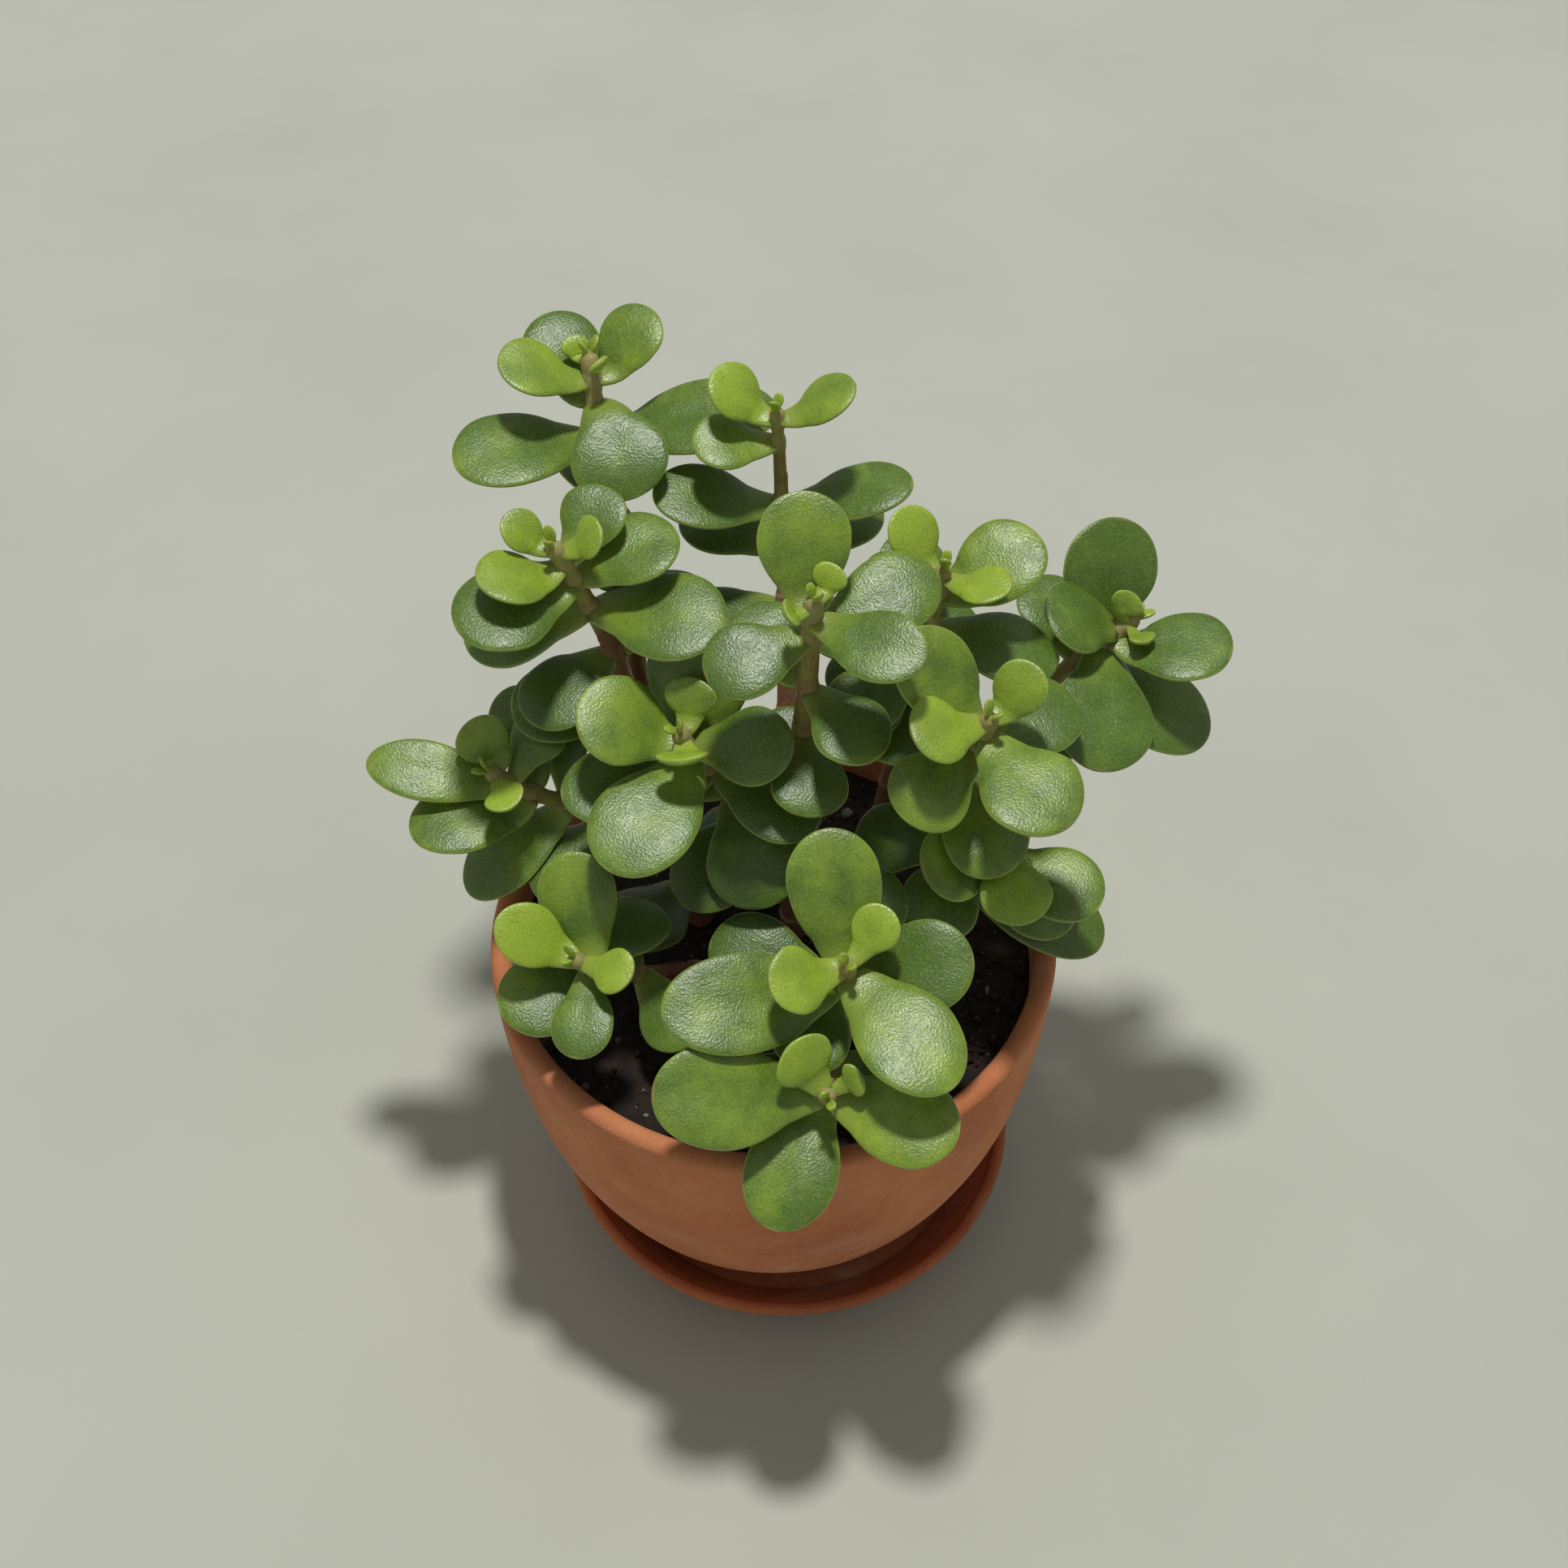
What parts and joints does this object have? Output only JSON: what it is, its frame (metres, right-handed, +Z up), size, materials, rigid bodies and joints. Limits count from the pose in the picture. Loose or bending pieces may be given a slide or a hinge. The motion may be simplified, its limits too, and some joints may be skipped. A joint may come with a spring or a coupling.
{
  "type": "potted jade plant",
  "caption": "Jade plant with thick rounded leaves in opposite pairs on branching stems, rooted in soil in a curved terracotta pot that stands on its saucer.",
  "frame": {"origin": "centre of the saucer's flat underside, on the surface it stands on", "axes": "+Z up, out of the pot's mouth; -Y is the front, where the lowest shoot leans over the pot's lip; +X to the right seen from the front"},
  "size_m": [0.1827, 0.1471, 0.2155],
  "materials": {
    "terracotta": "unglazed, matt, fired clay",
    "potting_soil": "dark, damp, crumbly",
    "stem": "smooth green-brown bark, woody below",
    "young_leaf": "waxy, yellow-green",
    "leaf": "waxy, mid to dark green"
  },
  "bodies": {
    "root": {"leaves_back_1": "young_leaf", "leaves_back_2": "leaf", "leaves_back_3": "leaf", "leaves_back_4": "leaf", "leaves_centre_1": "young_leaf", "leaves_centre_2": "leaf", "leaves_centre_3": "leaf", "leaves_centre_4": "leaf", "leaves_far_right_1": "young_leaf", "leaves_far_right_2": "leaf", "leaves_far_right_3": "leaf", "leaves_far_right_4": "leaf", "leaves_front_1": "young_leaf", "leaves_front_2": "leaf", "leaves_front_3": "leaf", "leaves_front_4": "leaf", "leaves_front_low_1": "young_leaf", "leaves_front_low_2": "leaf", "leaves_front_low_3": "leaf", "leaves_left_low_1": "young_leaf", "leaves_left_low_2": "leaf", "leaves_left_low_3": "leaf", "leaves_left_low_4": "leaf", "leaves_left_top_1": "young_leaf", "leaves_left_top_2": "leaf", "leaves_left_top_3": "leaf", "leaves_left_top_4": "leaf", "leaves_left_top_5": "leaf", "leaves_left_top_6": "leaf", "leaves_middle_left_1": "young_leaf", "leaves_middle_left_2": "leaf", "leaves_middle_left_3": "leaf", "leaves_middle_left_4": "leaf", "leaves_middle_left_5": "leaf", "leaves_right_back_1": "young_leaf", "leaves_right_back_2": "leaf", "leaves_right_back_3": "leaf", "leaves_right_back_4": "leaf", "leaves_right_low_1": "young_leaf", "leaves_right_low_2": "leaf", "leaves_right_low_3": "leaf", "leaves_right_middle_1": "young_leaf", "leaves_right_middle_2": "leaf", "leaves_right_middle_3": "leaf", "leaves_side_1": "young_leaf", "leaves_side_2": "leaf", "leaves_side_3": "leaf", "leaves_tall_1": "young_leaf", "leaves_tall_2": "leaf", "leaves_tall_3": "leaf", "leaves_tall_4": "leaf", "pot": "terracotta", "saucer": "terracotta", "soil": "potting_soil", "stem_back": "stem", "stem_centre": "stem", "stem_front": "stem", "stem_left": "stem", "stem_right": "stem", "stem_side": "stem"}
  },
  "joints": []
}
